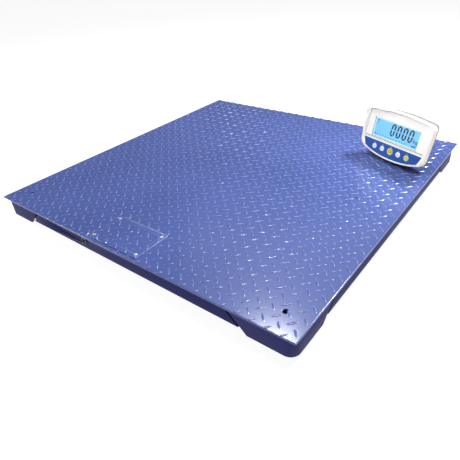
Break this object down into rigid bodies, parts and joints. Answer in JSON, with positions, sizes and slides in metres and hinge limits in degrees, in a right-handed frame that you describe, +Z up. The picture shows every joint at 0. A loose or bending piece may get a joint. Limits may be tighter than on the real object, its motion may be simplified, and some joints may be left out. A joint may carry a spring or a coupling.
{
  "type": "platform shipping scale",
  "caption": "Low square steel floor scale for weighing crates and pallets, with a chequer-plate deck on load-cell feet and a digital indicator on a tilting desk stand.",
  "frame": {"origin": "on the floor, under the middle of the deck", "axes": "+X to the right along the front edge, where the access cover is; +Y to the back; +Z up"},
  "size_m": [1.2, 1.2, 0.2717],
  "materials": {
    "deck_paint": "powder coat, satin",
    "frame_paint": "powder coat, satin",
    "cell_steel": "machined and nickel plated",
    "dark_steel": "black paint, satin",
    "zinc": "bright zinc",
    "rubber": "matt",
    "black_plastic": "matt",
    "cable_jacket": "matt",
    "shell_plastic": "fine moulded texture",
    "rear_plastic": "fine moulded texture",
    "keypad_film": "satin film",
    "lens": "clear",
    "lcd": "backlit liquid crystal",
    "board": "solder mask",
    "battery_case": "matt",
    "key_white": "satin",
    "key_yellow": "satin"
  },
  "bodies": {
    "platform": {"deck_plate": "deck_paint", "access_cover": "deck_paint", "cover_screw_1": "zinc", "cover_screw_2": "zinc", "cover_screw_3": "zinc", "cover_screw_4": "zinc", "front_channel": "frame_paint", "right_channel": "frame_paint", "back_channel": "frame_paint", "left_channel": "frame_paint", "rib_1": "frame_paint", "rib_2": "frame_paint", "rib_3": "frame_paint", "rib_4": "frame_paint", "corner_housing_front_left": "frame_paint", "load_cell_front_left": "cell_steel", "cell_spacer_front_left": "dark_steel", "cell_cable_front_left": "cable_jacket", "corner_housing_front_right": "frame_paint", "load_cell_front_right": "cell_steel", "cell_spacer_front_right": "dark_steel", "cell_cable_front_right": "cable_jacket", "corner_housing_back_right": "frame_paint", "load_cell_back_right": "cell_steel", "cell_spacer_back_right": "dark_steel", "cell_cable_back_right": "cable_jacket", "corner_housing_back_left": "frame_paint", "load_cell_back_left": "cell_steel", "cell_spacer_back_left": "dark_steel", "cell_cable_back_left": "cable_jacket", "junction_pocket": "frame_paint", "junction_box": "black_plastic", "junction_lid": "black_plastic", "platform_socket": "black_plastic", "home_cable": "cable_jacket"},
    "foot_front_left": {"foot_pad_front_left": "rubber"},
    "stud_front_left": {"foot_stud_front_left": "zinc"},
    "foot_front_right": {"foot_pad_front_right": "rubber"},
    "stud_front_right": {"foot_stud_front_right": "zinc"},
    "foot_back_right": {"foot_pad_back_right": "rubber"},
    "stud_back_right": {"foot_stud_back_right": "zinc"},
    "foot_back_left": {"foot_pad_back_left": "rubber"},
    "stud_back_left": {"foot_stud_back_left": "zinc"},
    "stand": {"stand_pad": "rubber", "stand_yoke": "dark_steel"},
    "indicator": {"front_shell": "shell_plastic", "rear_shell": "rear_plastic", "display_window": "lens", "lcd_module": "lcd", "keypad_panel": "keypad_film", "main_board": "board", "battery": "battery_case", "battery_door": "rear_plastic", "rear_socket": "black_plastic"},
    "knob": {"stand_knob": "black_plastic"},
    "key_cap_1": {"key_1": "key_white"},
    "key_cap_2": {"key_2": "key_white"},
    "key_cap_3": {"key_3": "key_yellow"},
    "key_cap_4": {"key_4": "key_white"},
    "key_cap_5": {"key_5": "key_yellow"}
  },
  "joints": [
    {"name": "foot_travel_front_left", "type": "slide", "parent": "platform", "child": "foot_front_left", "axis": [0, 0, -1], "range_m": [0, 0.012]},
    {"name": "stud_turn_front_left", "type": "hinge", "parent": "foot_front_left", "child": "stud_front_left", "pos_m": [-0.53, -0.53, 0.03], "axis": [0, 0, -1], "range_deg": [0, 2470]},
    {"name": "foot_travel_front_right", "type": "slide", "parent": "platform", "child": "foot_front_right", "axis": [0, 0, -1], "range_m": [0, 0.012]},
    {"name": "stud_turn_front_right", "type": "hinge", "parent": "foot_front_right", "child": "stud_front_right", "pos_m": [0.53, -0.53, 0.03], "axis": [0, 0, -1], "range_deg": [0, 2470]},
    {"name": "foot_travel_back_right", "type": "slide", "parent": "platform", "child": "foot_back_right", "axis": [0, 0, -1], "range_m": [0, 0.012]},
    {"name": "stud_turn_back_right", "type": "hinge", "parent": "foot_back_right", "child": "stud_back_right", "pos_m": [0.53, 0.53, 0.03], "axis": [0, 0, -1], "range_deg": [0, 2470]},
    {"name": "foot_travel_back_left", "type": "slide", "parent": "platform", "child": "foot_back_left", "axis": [0, 0, -1], "range_m": [0, 0.012]},
    {"name": "stud_turn_back_left", "type": "hinge", "parent": "foot_back_left", "child": "stud_back_left", "pos_m": [-0.53, 0.53, 0.03], "axis": [0, 0, -1], "range_deg": [0, 2470]},
    {"name": "stand_lift", "type": "slide", "parent": "platform", "child": "stand", "axis": [0, 0, 1], "range_m": [0, 0.25]},
    {"name": "indicator_tilt", "type": "hinge", "parent": "stand", "child": "indicator", "pos_m": [0.47558, 0.38995, 0.19289], "axis": [-0.9336, 0.3584, 0], "range_deg": [-4, 30]},
    {"name": "knob_turn", "type": "hinge", "parent": "stand", "child": "knob", "pos_m": [0.47558, 0.38995, 0.19289], "axis": [0.9336, -0.3584, 0], "range_deg": [0, 360]},
    {"name": "key_press_1", "type": "slide", "parent": "indicator", "child": "key_cap_1", "axis": [0.3503, 0.9125, -0.2113], "range_m": [0, 0.0012], "stiffness_N_per_m": 600},
    {"name": "key_press_2", "type": "slide", "parent": "indicator", "child": "key_cap_2", "axis": [0.3503, 0.9125, -0.2113], "range_m": [0, 0.0012], "stiffness_N_per_m": 600},
    {"name": "key_press_3", "type": "slide", "parent": "indicator", "child": "key_cap_3", "axis": [0.3503, 0.9125, -0.2113], "range_m": [0, 0.0012], "stiffness_N_per_m": 600},
    {"name": "key_press_4", "type": "slide", "parent": "indicator", "child": "key_cap_4", "axis": [0.3503, 0.9125, -0.2113], "range_m": [0, 0.0012], "stiffness_N_per_m": 600},
    {"name": "key_press_5", "type": "slide", "parent": "indicator", "child": "key_cap_5", "axis": [0.3503, 0.9125, -0.2113], "range_m": [0, 0.0012], "stiffness_N_per_m": 600}
  ],
  "couplings": [
    {"joint": "stud_turn_front_left", "follows": "foot_travel_front_left", "rad_per_m": 3590.4},
    {"joint": "stud_turn_front_right", "follows": "foot_travel_front_right", "rad_per_m": 3590.4},
    {"joint": "stud_turn_back_right", "follows": "foot_travel_back_right", "rad_per_m": 3590.4},
    {"joint": "stud_turn_back_left", "follows": "foot_travel_back_left", "rad_per_m": 3590.4}
  ]
}
